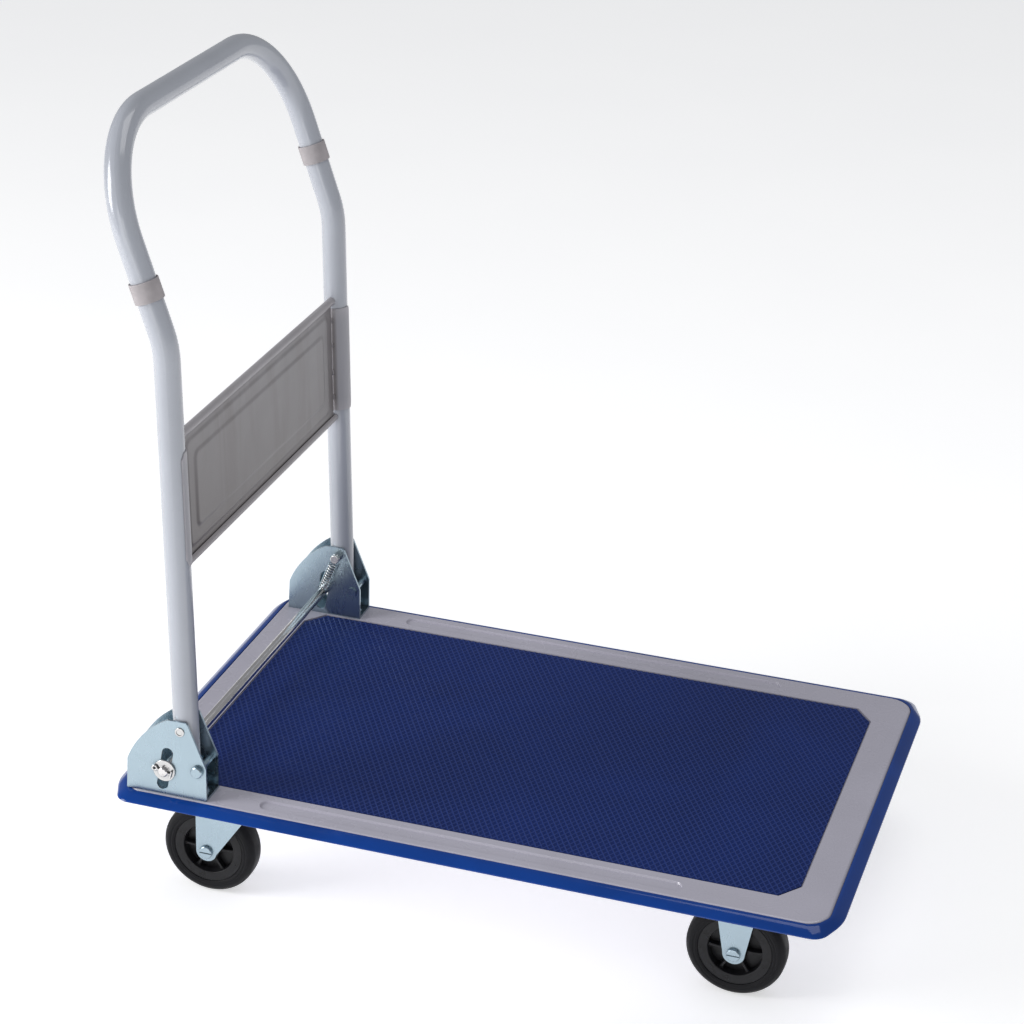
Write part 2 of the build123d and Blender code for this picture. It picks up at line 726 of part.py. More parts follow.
wheel_parts = {"tyre": tyre(), "rim": rim(), "axle_sleeve": wheel_sleeve(), "axle_bolt": wheel_axle()}
for end, side, x, y in casters():
    tail = end + "_" + side
    axle_x = x if end == "front" else swivel_axle_x
    if end == "front":
        parts["fixed_fork_" + side] = fixed_fork(x, y)
    else:
        parts["swivel_plate_" + side] = swivel_plate(x, y)
        parts["swivel_fork_" + side] = swivel_fork(x, y)
        parts["swivel_balls_" + side] = swivel_balls(x, y)
        parts["kingpin_" + side] = kingpin(x, y)
    turn = Rot(0, 0, 180) if y < 0 else Rot(0, 0, 0)
    for name, shape in wheel_parts.items():
        solids = shape if isinstance(shape, list) else [shape]
        placed = [Pos(axle_x, y, axle_z) * turn * solid for solid in solids]
        parts[name + "_" + tail] = placed if len(placed) > 1 else placed[0]

for name, shape in parts.items():
    items = shape if isinstance(shape, list) else [shape]
    solids = [Pos(frame_shift, 0, 0) * solid for item in items for solid in item.solids()]
    export_step(solids[0] if len(solids) == 1 else Compound(children=solids), "parts/" + name + ".step")
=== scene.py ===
"""Folding platform cart: the looks of every piece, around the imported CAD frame."""
import json
from math import cos, hypot, pi, radians, sin

import bmesh
import bpy
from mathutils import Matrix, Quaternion, Vector


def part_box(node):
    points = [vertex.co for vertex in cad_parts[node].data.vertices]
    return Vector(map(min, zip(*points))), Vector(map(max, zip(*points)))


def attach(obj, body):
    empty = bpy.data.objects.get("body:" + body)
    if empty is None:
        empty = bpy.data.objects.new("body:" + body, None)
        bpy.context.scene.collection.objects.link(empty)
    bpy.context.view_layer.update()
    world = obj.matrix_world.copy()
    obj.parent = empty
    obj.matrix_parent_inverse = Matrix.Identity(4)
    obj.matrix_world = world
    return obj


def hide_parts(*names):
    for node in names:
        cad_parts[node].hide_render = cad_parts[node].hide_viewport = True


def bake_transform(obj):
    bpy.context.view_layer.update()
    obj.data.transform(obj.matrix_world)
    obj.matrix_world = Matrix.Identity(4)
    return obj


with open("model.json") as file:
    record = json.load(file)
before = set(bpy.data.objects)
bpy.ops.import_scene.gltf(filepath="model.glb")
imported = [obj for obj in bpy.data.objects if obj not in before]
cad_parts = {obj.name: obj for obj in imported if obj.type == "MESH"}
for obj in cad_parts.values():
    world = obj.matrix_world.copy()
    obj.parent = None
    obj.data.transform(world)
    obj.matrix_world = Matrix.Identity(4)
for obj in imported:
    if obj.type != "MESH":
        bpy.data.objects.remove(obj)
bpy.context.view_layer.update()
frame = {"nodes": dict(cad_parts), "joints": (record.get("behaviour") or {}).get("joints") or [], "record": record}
nodes = frame["nodes"]
joints = {joint["name"]: joint for joint in frame["joints"]}
MM = 0.001
SIDES = {"left": 1, "right": -1}

# Sizes that the pieces below share with the CAD.
LEG_Y = 209.1 * MM              # a leg's centre line from the middle of the cart
LEG_LEAN = radians(1.65)        # the legs lean back
NECK_LEAN = radians(19.1)       # the necks above them lean further
TUBE = 12.7 * MM                # the handle tube's outer radius
MAT_CUT = (18 * MM, 23 * MM)    # cut off the mat's corners, along X and Y
BUMPER_CUT = (15 * MM, 36 * MM)
PAN_CORNER = 25 * MM            # corner radius of the pan's rim
PANEL = (163 * MM, 305 * MM)    # the panel's span, up a leg from the pivot
FLANGE_INSET = 12.5 * MM        # the flanges end inside the panel's edges


# ---------------------------------------------------------------- material tools

def start_material(name, colour, **sockets):
    """A node material; the sockets that are the same all over are set on its shader."""
    material = bpy.data.materials.new(name)
    material.use_nodes = True
    shader = material.node_tree.nodes["Principled BSDF"]
    shader.inputs["Base Color"].default_value = (*colour, 1)
    for socket, value in sockets.items():
        shader.inputs[socket.replace("_", " ")].default_value = value
    return material


def add_node(material, kind, settings=(), **inputs):
    made = material.node_tree.nodes.new(kind)
    for key, value in dict(settings).items():
        setattr(made, key, value)
    for key, value in inputs.items():
        socket = made.inputs[key.replace("_", " ")]
        if isinstance(value, bpy.types.NodeSocket):
            material.node_tree.links.new(value, socket)
        else:
            socket.default_value = value
    return made


def grain(material, scale, detail=3.0, stretch=(1, 1, 1), distortion=0.0):
    """Noise over the piece, with scale in waves per metre."""
    place = add_node(material, "ShaderNodeTexCoord").outputs["Object"]
    if stretch != (1, 1, 1):
        place = add_node(material, "ShaderNodeMapping", Vector=place, Scale=stretch).outputs["Vector"]
    texture = add_node(material, "ShaderNodeTexNoise", Vector=place, Scale=scale, Detail=detail,
                       Distortion=distortion)
    return texture.outputs["Fac"]


def remap(material, value, low, high, from_low=0.3, from_high=0.7):
    made = add_node(material, "ShaderNodeMapRange", Value=value, From_Min=from_low, From_Max=from_high,
                    To_Min=low, To_Max=high)
    return made.outputs["Result"]


def math(material, operation, first, second=0.0):
    made = material.node_tree.nodes.new("ShaderNodeMath")
    made.operation = operation
    for socket, value in zip(made.inputs, (first, second)):
        if isinstance(value, bpy.types.NodeSocket):
            material.node_tree.links.new(value, socket)
        else:
            socket.default_value = value
    return made.outputs["Value"]


def tint(material, factor, first, second):
    """Colour between two colours or colour sockets."""
    made = material.node_tree.nodes.new("ShaderNodeMix")
    made.data_type = "RGBA"
    material.node_tree.links.new(factor, made.inputs["Factor"])
    for socket, value in ((made.inputs[6], first), (made.inputs[7], second)):
        if isinstance(value, bpy.types.NodeSocket):
            material.node_tree.links.new(value, socket)
        else:
            socket.default_value = (*value, 1)
    return made.outputs[2]


def feed(material, output, socket):
    shader = material.node_tree.nodes["Principled BSDF"]
    material.node_tree.links.new(output, shader.inputs[socket])


def relief(material, height, depth, below=None):
    """Bump of a depth in metres, on top of another bump if one is given."""
    made = add_node(material, "ShaderNodeBump", Height=height, Distance=depth, Strength=1.0)
    if below is not None:
        material.node_tree.links.new(below, made.inputs["Normal"])
    return made.outputs["Normal"]


def shade(colour, factor):
    return tuple(channel * factor for channel in colour)


def occlusion_shade(material, reach, strength):
    """Ambient occlusion mask for painted shade: 1 on open faces, falling towards 1 - strength in corners and
    crevices.
    """
    made = add_node(material, "ShaderNodeAmbientOcclusion", settings={"samples": 6}, Distance=reach)
    return remap(material, made.outputs["AO"], 1 - strength, 1.0, 0.35, 0.95)


# ---------------------------------------------------------------- materials

def enamel(name, colour, roughness, coat=0.25, peel=0.000012, painted_shade_depth=0.18):
    """Sprayed and baked enamel: clouded tint, soft orange peel, handling marks and painted shade in corners."""
    material = start_material(name, colour, Coat_Weight=coat, Coat_Roughness=0.10, Specular_IOR_Level=0.5)
    clouds = remap(material, grain(material, 9, 4, distortion=0.6), 0, 1)
    base = tint(material, clouds, shade(colour, 0.96), shade(colour, 1.04))
    specks = remap(material, grain(material, 900, 2), 0, 0.7, 0.68, 0.76)
    base = tint(material, specks, base, shade(colour, 0.78))
    # painted shade: ambient occlusion darkens the enamel in corners and crevices
    painted_corner_shade = remap(material, occlusion_shade(material, 0.012, 1.0), painted_shade_depth, 0.0, 0, 1)
    base = tint(material, painted_corner_shade, base, (0.05, 0.045, 0.045))
    feed(material, base, "Base Color")
    rub = remap(material, grain(material, 45, 6, stretch=(1, 1, 0.25), distortion=1.0), -0.05, 0.07)
    feed(material, math(material, "ADD", rub, roughness), "Roughness")
    skin = relief(material, grain(material, 420, 2), peel * 6)
    feed(material, relief(material, grain(material, 2600, 2), peel, skin), "Normal")
    return material


def zinc_plate(name, colour, roughness=0.27, cloud=0.025, straw=0.18):
    """Bright zinc plating: a cool even film, faint straw passivation, fine rubbing marks and painted shade in its
    hollows.
    """
    material = start_material(name, colour, Metallic=1.0)
    clouds = remap(material, grain(material, 26, 4, distortion=1.2), 0, 1)
    base = tint(material, clouds, shade(colour, 1 - cloud), shade(colour, 1 + cloud))
    warm = remap(material, grain(material, 11, 3, distortion=0.8), 0, straw, 0.5, 0.8)
    base = tint(material, warm, base, (colour[0] * 1.05, colour[1], colour[2] * 0.9))
    # painted shade: ambient occlusion darkens the plating in hollows and between parts
    dull = remap(material, occlusion_shade(material, 0.006, 1.0), 0.5, 0.0, 0, 1)
    base = tint(material, dull, base, (0.10, 0.12, 0.14))
    feed(material, base, "Base Color")
    marks = grain(material, 260, 3, stretch=(1, 1, 0.12))
    rough = math(material, "ADD", remap(material, clouds, -0.015, 0.015, 0, 1), roughness)
    feed(material, math(material, "ADD", rough, remap(material, marks, -0.008, 0.012)), "Roughness")
    feed(material, relief(material, marks, 0.0000003), "Normal")
    return material


def scuffed_steel(name, colour):
    """Drawn bar that slides in its slots: lengthwise drawing lines, scuffs and dull patches."""
    material = start_material(name, colour, Metallic=1.0)
    lines = grain(material, 900, 5, stretch=(1, 0.04, 1))
    scuffs = remap(material, grain(material, 120, 6, stretch=(1, 0.3, 1), distortion=1.0), 0, 1, 0.52, 0.72)
    base = tint(material, scuffs, shade(colour, 1.05), shade(colour, 0.82))
    base = tint(material, remap(material, lines, 0, 0.3, 0.35, 0.7), base, shade(colour, 0.75))
    feed(material, base, "Base Color")
    feed(material, remap(material, scuffs, 0.16, 0.34, 0, 1), "Roughness")
    deep = relief(material, lines, 0.000003)
    feed(material, relief(material, scuffs, 0.000004, deep), "Normal")
    return material


def black_rubber(name):
    """Tyre rubber: dull black with bloom, fine grain and specks of dust."""
    colour = (0.005, 0.005, 0.0065)
    material = start_material(name, colour, Specular_IOR_Level=0.16)
    bloom = remap(material, grain(material, 60, 5, distortion=0.7), 0, 1, 0.4, 0.7)
    base = tint(material, bloom, colour, (0.009, 0.009, 0.011))
    dust = remap(material, grain(material, 700, 3), 0, 0.5, 0.62, 0.72)
    feed(material, tint(material, dust, base, (0.022, 0.021, 0.022)), "Base Color")
    feed(material, remap(material, bloom, 0.42, 0.62, 0, 1), "Roughness")
    feed(material, relief(material, grain(material, 1800, 3), 0.00003), "Normal")
    return material


def black_plastic(name):
    """Moulded nylon wheel centre: satin black with flow marks."""
    colour = (0.006, 0.006, 0.007)
    material = start_material(name, colour, Specular_IOR_Level=0.28)
    flow = remap(material, grain(material, 80, 4, distortion=2.0), 0, 1)
    feed(material, tint(material, flow, colour, (0.012, 0.012, 0.014)), "Base Color")
    feed(material, remap(material, flow, 0.26, 0.42, 0, 1), "Roughness")
    feed(material, relief(material, grain(material, 2200, 2), 0.00002), "Normal")
    return material


def mat_rubber(name):
    """Deep blue moulded sheet, a touch paler on the raised net's tops: rubbed wear with a painted highlight."""
    colour = (0.0025, 0.017, 0.120)
    material = start_material(name, colour, Specular_IOR_Level=0.16)
    clouds = remap(material, grain(material, 7, 5, distortion=0.8), 0, 1)
    base = tint(material, clouds, shade(colour, 0.85), shade(colour, 1.15))
    place = add_node(material, "ShaderNodeTexCoord").outputs["Object"]
    height = add_node(material, "ShaderNodeSeparateXYZ", Vector=place).outputs["Z"]
    # rubbed wear and painted highlight: the tops of the raised net are lightened
    wear_and_highlight = remap(material, height, 0, 0.55, mat_top - 0.25 * MM, mat_top)
    base = tint(material, wear_and_highlight, base, (0.036, 0.066, 0.26))
    feed(material, base, "Base Color")
    feed(material, remap(material, grain(material, 120, 5), 0.36, 0.5), "Roughness")
    feed(material, relief(material, grain(material, 1500, 3), 0.00003), "Normal")
    return material


def gloss_vinyl(name):
    """Glossy blue extrusion: deep even colour, slight waves and a few dull rubs."""
    colour = (0.001, 0.044, 0.265)
    material = start_material(name, colour, Coat_Weight=0.35, Coat_Roughness=0.04, Specular_IOR_Level=0.22)
    clouds = remap(material, grain(material, 12, 4, distortion=0.6), 0, 1)
    base = tint(material, clouds, shade(colour, 0.88), shade(colour, 1.14))
    feed(material, base, "Base Color")
    rubs = remap(material, grain(material, 220, 5, stretch=(0.3, 0.3, 1)), 0.10, 0.24, 0.45, 0.8)
    feed(material, rubs, "Roughness")
    feed(material, relief(material, grain(material, 90, 2), 0.00006), "Normal")
    return material


def ring_plastic(name):
    """Warm grey moulded band: matte, with a fine sparked texture."""
    colour = (0.39, 0.36, 0.37)
    material = start_material(name, colour)
    mottle = remap(material, grain(material, 110, 5), 0, 1)
    feed(material, tint(material, mottle, shade(colour, 0.9), shade(colour, 1.08)), "Base Color")
    feed(material, remap(material, mottle, 0.45, 0.6, 0, 1), "Roughness")
    feed(material, relief(material, grain(material, 1900, 3), 0.00003), "Normal")
    return material


def panel_enamel(name, colour):
    """Satin enamel: cloudy film and runs, painted warm shade darkening it towards the lower near corner and in
    crevices, paler flanges, and a painted highlight on edges.
    """
    material = start_material(name, colour, Coat_Weight=0.12, Coat_Roughness=0.25, Specular_IOR_Level=0.5)
    clouds = remap(material, grain(material, 7, 5, distortion=1.1), 0, 1)
    base = tint(material, clouds, shade(colour, 0.66), shade(colour, 1.15))
    runs = remap(material, grain(material, 34, 4, stretch=(1, 1, 0.16), distortion=0.5), 0, 0.6, 0.48, 0.72)
    base = tint(material, runs, base, (colour[0] * 0.62, colour[1] * 0.58, colour[2] * 0.56))
    place = add_node(material, "ShaderNodeTexCoord").outputs["Object"]
    apart = add_node(material, "ShaderNodeSeparateXYZ", Vector=place).outputs
    low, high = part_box("handle_panel")
    up = remap(material, apart["Z"], 0.0, 0.6, low.z, high.z)
    along = remap(material, apart["Y"], 0.0, 0.4, low.y, high.y)
    # painted shade: a warm darkening towards the lower near corner of the sheet
    painted_shade_slope = remap(material, math(material, "ADD", up, along), 0.85, 0.0, 0.1, 0.85)
    base = tint(material, painted_shade_slope, base, (colour[0] * 0.5, colour[1] * 0.46, colour[2] * 0.42))
    # the flanges show the paler grey of the paint; the darker, warmer sheet colour between them is painted
    # reflection and shade
    off_middle = math(material, "ABSOLUTE", apart["Y"])
    wrapped = remap(material, off_middle, 0, 1, LEG_Y - TUBE - 1 * MM, LEG_Y - TUBE)
    base = tint(material, wrapped, base, (0.38, 0.375, 0.405))
    # painted shade: ambient occlusion darkens the sheet in corners and crevices
    painted_corner_shade = remap(material, occlusion_shade(material, 0.008, 1.0), 0.5, 0.0, 0, 1)
    base = tint(material, painted_corner_shade, base, (0.03, 0.027, 0.025))
    # painted highlight: the sheet's sharp edges and rims are lightened
    edge = add_node(material, "ShaderNodeNewGeometry").outputs["Pointiness"]
    base = tint(material, remap(material, edge, 0, 0.5, 0.53, 0.6), base, shade(colour, 1.7))
    feed(material, base, "Base Color")
    feed(material, remap(material, clouds, 0.34, 0.46, 0, 1), "Roughness")
    skin = relief(material, grain(material, 300, 2), 0.00006)
    feed(material, relief(material, grain(material, 2400, 2), 0.000015, skin), "Normal")
    return material


# ---------------------------------------------------------------- mesh tools

def make_piece(name, points, faces, material, smooth=35):
    """A mesh piece, smooth except across edges sharper than the angle."""
    mesh = bpy.data.meshes.new(name)
    mesh.from_pydata(points, [], faces)
    mesh.validate()
    mesh.shade_smooth()
    mesh.set_sharp_from_angle(angle=radians(smooth))
    piece = bpy.data.objects.new(name, mesh)
    bpy.context.scene.collection.objects.link(piece)
    mesh.materials.append(material)
    return piece


def wire_mesh(path, radius, around=10):
    """Round wire along a list of points, closed at both ends."""
    points = []
    faces = []
    up = None
    for i, here in enumerate(path):
        ahead = path[min(i + 1, len(path) - 1)] - path[max(i - 1, 0)]
        ahead.normalize()
        if up is None:
            up = ahead.orthogonal().normalized()
        up = (up - ahead * up.dot(ahead)).normalized()
        side = ahead.cross(up)
        for j in range(around):
            turn = 2 * pi * j / around
            points.append(here + (up * cos(turn) + side * sin(turn)) * radius)
    for i in range(len(path) - 1):
        for j in range(around):
            k = (j + 1) % around
            faces.append((i * around + j, i * around + k, (i + 1) * around + k, (i + 1) * around + j))
    last = (len(path) - 1) * around
    faces.append(tuple(reversed(range(around))))
    faces.append(tuple(last + j for j in range(around)))
    return points, faces


def shell(front, back):
    """A closed sheet between two grids of points of the same size."""
    rows = len(front)
    columns = len(front[0])
    points = [point for grid in (front, back) for row in grid for point in row]
    faces = []
    offset = rows * columns

    def corner(i, j, layer):
        return layer * offset + i * columns + j

    for i in range(rows - 1):
        for j in range(columns - 1):
            square = [(i, j), (i, j + 1), (i + 1, j + 1), (i + 1, j)]
            faces.append([corner(a, b, 0) for a, b in square])
            faces.append([corner(a, b, 1) for a, b in reversed(square)])
    rim = [(0, j) for j in range(columns)] + [(i, columns - 1) for i in range(1, rows)]
    rim += [(rows - 1, j) for j in range(columns - 2, -1, -1)] + [(i, 0) for i in range(rows - 2, 0, -1)]
    for here, ahead in zip(rim, rim[1:] + rim[:1]):
        faces.append([corner(*ahead, 0), corner(*here, 0), corner(*here, 1), corner(*ahead, 1)])
    return points, faces


def lathe(profile, around=96, start=0.0):
    """A closed profile of (radius, along) turned about Y, as points and faces."""
    points = []
    faces = []
    count = len(profile)
    for i in range(around):
        turn = start + 2 * pi * i / around
        points += [Vector((r * cos(turn), y, r * sin(turn))) for r, y in profile]
    for i in range(around):
        k = (i + 1) % around
        for j in range(count):
            m = (j + 1) % count
            faces.append((i * count + j, i * count + m, k * count + m, k * count + j))
    return points, faces


def rounded(corners, radius, steps=4):
    """A closed outline with every corner rounded; a corner may state its own radius."""
    outline = []
    for i, corner in enumerate(corners):
        here = Vector(corner[:2])
        size = corner[2] if len(corner) > 2 else radius
        before = Vector(corners[i - 1][:2]) - here
        after = Vector(corners[(i + 1) % len(corners)][:2]) - here
        reach = min(size, before.length * 0.48, after.length * 0.48)
        first = here + before.normalized() * reach
        last = here + after.normalized() * reach
        for k in range(steps + 1):
            t = k / steps
            outline.append(tuple(first * (1 - t) ** 2 + here * 2 * t * (1 - t) + last * t * t))
    return outline


def join_meshes(parts):
    """Several lists of points and faces as one."""
    points = []
    faces = []
    for more, loops in parts:
        faces += [[index + len(points) for index in loop] for loop in loops]
        points += more
    return points, faces


def soften(name):
    """Small rounded edges on a CAD node."""
    weld = nodes[name].modifiers.new("weld", "WELD")
    weld.merge_threshold = 0.01 * MM
    bevel = nodes[name].modifiers.new("edges", "BEVEL")
    bevel.width = 0.35 * MM
    bevel.segments = 2
    bevel.limit_method = "ANGLE"
    bevel.angle_limit = radians(38)
    bevel.harden_normals = True


# ---------------------------------------------------------------- the mat

mat_low, mat_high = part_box("deck_mat")
mat_top = mat_high.z
mat_middle = (mat_low.x + mat_high.x) / 2
mat_half_x = mat_high.x - mat_middle
mat_half_y = mat_high.y


def net_mat(material):
    """Sheet with a raised diamond net: each cell has a flat rim, four slopes and a floor."""
    half_x = 3.2 * MM
    half_y = 5.4 * MM
    rings = ((1.0, 0.0), (0.84, 0.0), (0.60, 0.35 * MM))
    mesh = bmesh.new()
    columns = int(mat_half_x / half_x) + 2
    rows = int(mat_half_y / half_y) + 2
    corners = ((half_x, 0), (0, half_y), (-half_x, 0), (0, -half_y))
    shared = {}
    for i in range(-columns, columns + 1):
        for j in range(-rows, rows + 1):
            if (i + j) % 2:
                continue
            levels = []
            for step, (size, drop) in enumerate(rings):
                level = []
                for dx, dy in corners:
                    x = i * half_x + dx * size
                    y = j * half_y + dy * size
                    key = (round(x / half_x), round(y / half_y)) if step == 0 else None
                    if key is None or key not in shared:
                        made = mesh.verts.new((x, y, mat_top - drop))
                        if key is not None:
                            shared[key] = made
                    else:
                        made = shared[key]
                    level.append(made)
                levels.append(level)
            for outer, inner in zip(levels, levels[1:]):
                for k in range(4):
                    mesh.faces.new((outer[k], outer[(k + 1) % 4], inner[(k + 1) % 4], inner[k]))
            mesh.faces.new(levels[-1])
    trim_to_mat(mesh)
    add_mat_sides(mesh)
    bmesh.ops.translate(mesh, verts=mesh.verts[:], vec=(mat_middle, 0, 0))
    data = bpy.data.meshes.new("mat_net")
    mesh.to_mesh(data)
    mesh.free()
    data.shade_flat()
    data.materials.append(material)
    piece = bpy.data.objects.new("mat_net", data)
    bpy.context.scene.collection.objects.link(piece)
    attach(piece, "cart")
    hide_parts("deck_mat")


def trim_to_mat(mesh):
    """Cuts the net to the mat's outline: a rectangle with its corners cut off."""
    cut_x, cut_y = MAT_CUT
    across = Vector((cut_y, cut_x, 0)).normalized()
    planes = []
    for sx in (-1, 1):
        planes.append((Vector((sx * mat_half_x, 0, 0)), Vector((sx, 0, 0))))
        planes.append((Vector((0, sx * mat_half_y, 0)), Vector((0, sx, 0))))
        for sy in (-1, 1):
            corner = Vector((sx * (mat_half_x - cut_x), sy * mat_half_y, 0))
            planes.append((corner, Vector((sx * across.x, sy * across.y, 0))))
    for place, outward in planes:
        everything = mesh.verts[:] + mesh.edges[:] + mesh.faces[:]
        bmesh.ops.bisect_plane(mesh, geom=everything, plane_co=place, plane_no=outward, clear_outer=True)


def add_mat_sides(mesh):
    """Side walls and a flat underside under the trimmed net."""
    rim = [edge for edge in mesh.edges if edge.is_boundary]
    walls = bmesh.ops.extrude_edge_only(mesh, edges=rim)["geom"]
    lowered = [item for item in walls if isinstance(item, bmesh.types.BMVert)]
    for vertex in lowered:
        vertex.co.z = mat_low.z
    bottom = [item for item in walls if isinstance(item, bmesh.types.BMEdge) and item.is_boundary]
    bmesh.ops.contextual_create(mesh, geom=bottom)
    bmesh.ops.recalc_face_normals(mesh, faces=mesh.faces[:])


# ---------------------------------------------------------------- the bumper

def plan_outline(half_x, half_y, radius, steps=10):
    """Plan outline of the strip: straight sides, flats across the corners, all blended with arcs."""
    cut_x, cut_y = BUMPER_CUT
    corners = []
    for sx, sy in ((1, 1), (-1, 1), (-1, -1), (1, -1)):
        pair = [(sx * half_x, sy * (half_y - cut_y)), (sx * (half_x - cut_x), sy * half_y)]
        corners += pair if sx * sy > 0 else pair[::-1]
    return rounded([(x, y, radius) for x, y in corners], radius, steps)


def bumper_strip(material):
    """Vinyl strip round the pan: a crowned slope, a round nose, a drip groove below and creased corners."""
    low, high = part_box("bumper")
    centre = (low + high) / 2
    half_x = high.x - centre.x
    half_y = high.y
    reach = 12.5
    inner_x = half_x - reach * MM
    inner_y = half_y - reach * MM
    section = [(0.1, 0.0), (1.2, 0.15), (3.0, -0.2), (5.0, -1.0), (7.5, -2.4), (9.8, -4.0), (11.4, -5.2),
               (12.2, -6.0), (reach, -6.6), (12.3, -7.2), (11.6, -7.65), (10.6, -7.8), (8.6, -7.8),
               (8.0, -7.1), (7.4, -7.1), (6.8, -7.8), (0.1, -7.8)]
    outer = plan_outline(half_x, half_y, 12 * MM)
    points = []
    for x, y in outer:
        toward = edge_of_pan(x, y, inner_x, inner_y)
        crease = corner_crease(x, y, half_x, half_y)
        for out, drop in section:
            share = out / reach
            fall = drop * (1 + 0.10 * crease) - 0.25 * crease * share
            points.append(Vector((centre.x + toward[0] + (x - toward[0]) * share,
                                  toward[1] + (y - toward[1]) * share, high.z + fall * MM)))
    count = len(section)
    rings = len(outer)
    faces = [(i * count + j, i * count + (j + 1) % count, ((i + 1) % rings) * count + (j + 1) % count,
              ((i + 1) % rings) * count + j) for i in range(rings) for j in range(count)]
    piece = make_piece("bumper_strip", points, faces, material, 50)
    clean_up(piece)
    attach(piece, "cart")
    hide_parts("bumper")


def edge_of_pan(x, y, half_x, half_y):
    """Nearest point on the pan's rim, a rectangle with round corners."""
    core_x = max(-half_x + PAN_CORNER, min(half_x - PAN_CORNER, x))
    core_y = max(-half_y + PAN_CORNER, min(half_y - PAN_CORNER, y))
    away = Vector((x - core_x, y - core_y)).normalized() * PAN_CORNER
    return core_x + away.x, core_y + away.y


def corner_crease(x, y, half_x, half_y):
    """1 at the middle of a corner's flat, 0 along the sides."""
    across = max(0.0, 1 - (half_x - abs(x)) / BUMPER_CUT[0])
    along = max(0.0, 1 - (half_y - abs(y)) / BUMPER_CUT[1])
    return 4 * min(across, 1 - across) * min(along, 1 - along) if across > 0 and along > 0 else 0.0


# ---------------------------------------------------------------- the handle's panel and bands

SHEET = 1.2 * MM
ROLL = 4.25 * MM


def smooth_step(value):
    value = max(0.0, min(1.0, value))
    return value * value * (3 - 2 * value)


def inside_field(y, w, half_y, half_w, corner, slope):
    """1 well inside a round-cornered rectangle, easing to 0 across its sloped edge."""
    qy = abs(y) - half_y + corner
    qw = abs(w) - half_w + corner
    outside = hypot(max(qy, 0), max(qw, 0)) + min(max(qy, qw), 0) - corner
    return smooth_step(0.5 - outside / slope)


def leg_place(across, up, front):
    """A point given across the handle, up the leg from the pivot, and ahead of the legs' plane."""
    pivot = Vector(joints["handle_fold"]["pos_m"])
    along = Vector((-sin(LEG_LEAN), 0, cos(LEG_LEAN)))
    ahead = Vector((cos(LEG_LEAN), 0, sin(LEG_LEAN)))
    return pivot + along * up + ahead * front + Vector((0, across, 0))


def panel_sheet_part(low, high):
    """The sheet with its two nested raised fields."""
    slit = 3.0 * MM
    field_depth = 1.3 * MM
    half = LEG_Y - TUBE - slit
    middle = (low + high) / 2
    reach = (high - low) / 2
    rows = 84
    columns = 230
    front = []
    back = []
    for i in range(rows + 1):
        up = low + (high - low) * i / rows
        ahead = []
        behind = []
        for j in range(columns + 1):
            across = -half + 2 * half * j / columns
            rise = 0.0
            for inset in (13 * MM, 29 * MM):
                rise += field_depth * inside_field(across, up - middle, half - inset,
                                                   reach - inset + 5 * MM, 7 * MM, 4.5 * MM)
            ahead.append(leg_place(across, up, rise + SHEET / 2))
            behind.append(leg_place(across, up, rise - SHEET / 2))
        front.append(ahead)
        back.append(behind)
    return shell(front, back)


def panel_curl(centre, way):
    """Rolled edge of the sheet, open by a thin slit in front."""
    half = LEG_Y - TUBE
    bore = 3.2 * MM
    steps = 36
    outer = []
    inner = []
    for i in range(steps + 1):
        turn = radians(-9 - 327 * i / steps)
        for grid, radius in ((outer, ROLL), (inner, bore)):
            grid.append([leg_place(y, centre + way * radius * cos(turn), radius * sin(turn))
                         for y in (-half, half)])
    return shell(outer, inner)


def panel_flange(sign, low, high):
    """Flange wrapped round the front of a leg, its free corners cut off."""
    wrap = 25
    cut_from = 6
    inside = 12.8 * MM
    steps = 30
    outer = []
    inner = []
    for i in range(steps + 1):
        turn = -90 + (90 + wrap) * i / steps
        cut = max(0.0, (turn - cut_from) / (wrap - cut_from)) * 7 * MM
        heights = [low + cut + (high - low - 2 * cut) * k / 8 for k in range(9)]
        for grid, radius in ((outer, inside + SHEET), (inner, inside)):
            across = sign * (LEG_Y + radius * sin(radians(turn)))
            grid.append([leg_place(across, up, radius * cos(radians(turn))) for up in heights])
    return shell(outer, inner)


def weld_spot(across, up):
    """Small flattened bead between the sheet's edge and the flange."""
    width = 1.5 * MM
    height = 3.2 * MM
    thickness = 1.3 * MM
    points = []
    rings = 6
    around = 12
    for i in range(rings + 1):
        tilt = pi * i / rings
        for j in range(around):
            turn = 2 * pi * j / around
            points.append(leg_place(across + width * sin(tilt) * cos(turn), up + height * cos(tilt),
                                    0.8 * MM + thickness * sin(tilt) * sin(turn)))
    faces = [(i * around + j, i * around + (j + 1) % around, (i + 1) * around + (j + 1) % around,
              (i + 1) * around + j) for i in range(rings) for j in range(around)]
    return points, faces


def pressed_panel(material):
    """The pressed sheet between the legs, in place of the plain CAD panel."""
    low, high = PANEL
    roll_overlap = 8 * MM
    parts = [panel_sheet_part(low + roll_overlap, high - roll_overlap),
             panel_curl(low + ROLL, 1), panel_curl(high - ROLL, -1)]
    weld_across = LEG_Y - TUBE - 2.1 * MM
    for sign in SIDES.values():
        parts.append(panel_flange(sign, low + FLANGE_INSET, high - FLANGE_INSET))
        for share in (0.2, 0.4, 0.62, 0.82):
            parts.append(weld_spot(sign * weld_across, low + (high - low) * share))
    points, faces = join_meshes(parts)
    piece = make_piece("panel_pressing", points, faces, material, 40)
    clean_up(piece)
    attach(piece, "handle")
    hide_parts("handle_panel")


def clean_up(piece):
    """Merges doubled points, and turns every face outwards."""
    mesh = bmesh.new()
    mesh.from_mesh(piece.data)
    bmesh.ops.remove_doubles(mesh, verts=mesh.verts[:], dist=0.001 * MM)
    bmesh.ops.dissolve_degenerate(mesh, edges=mesh.edges[:], dist=0.001 * MM)
    bmesh.ops.recalc_face_normals(mesh, faces=mesh.faces[:])
    mesh.to_mesh(piece.data)
    mesh.free()


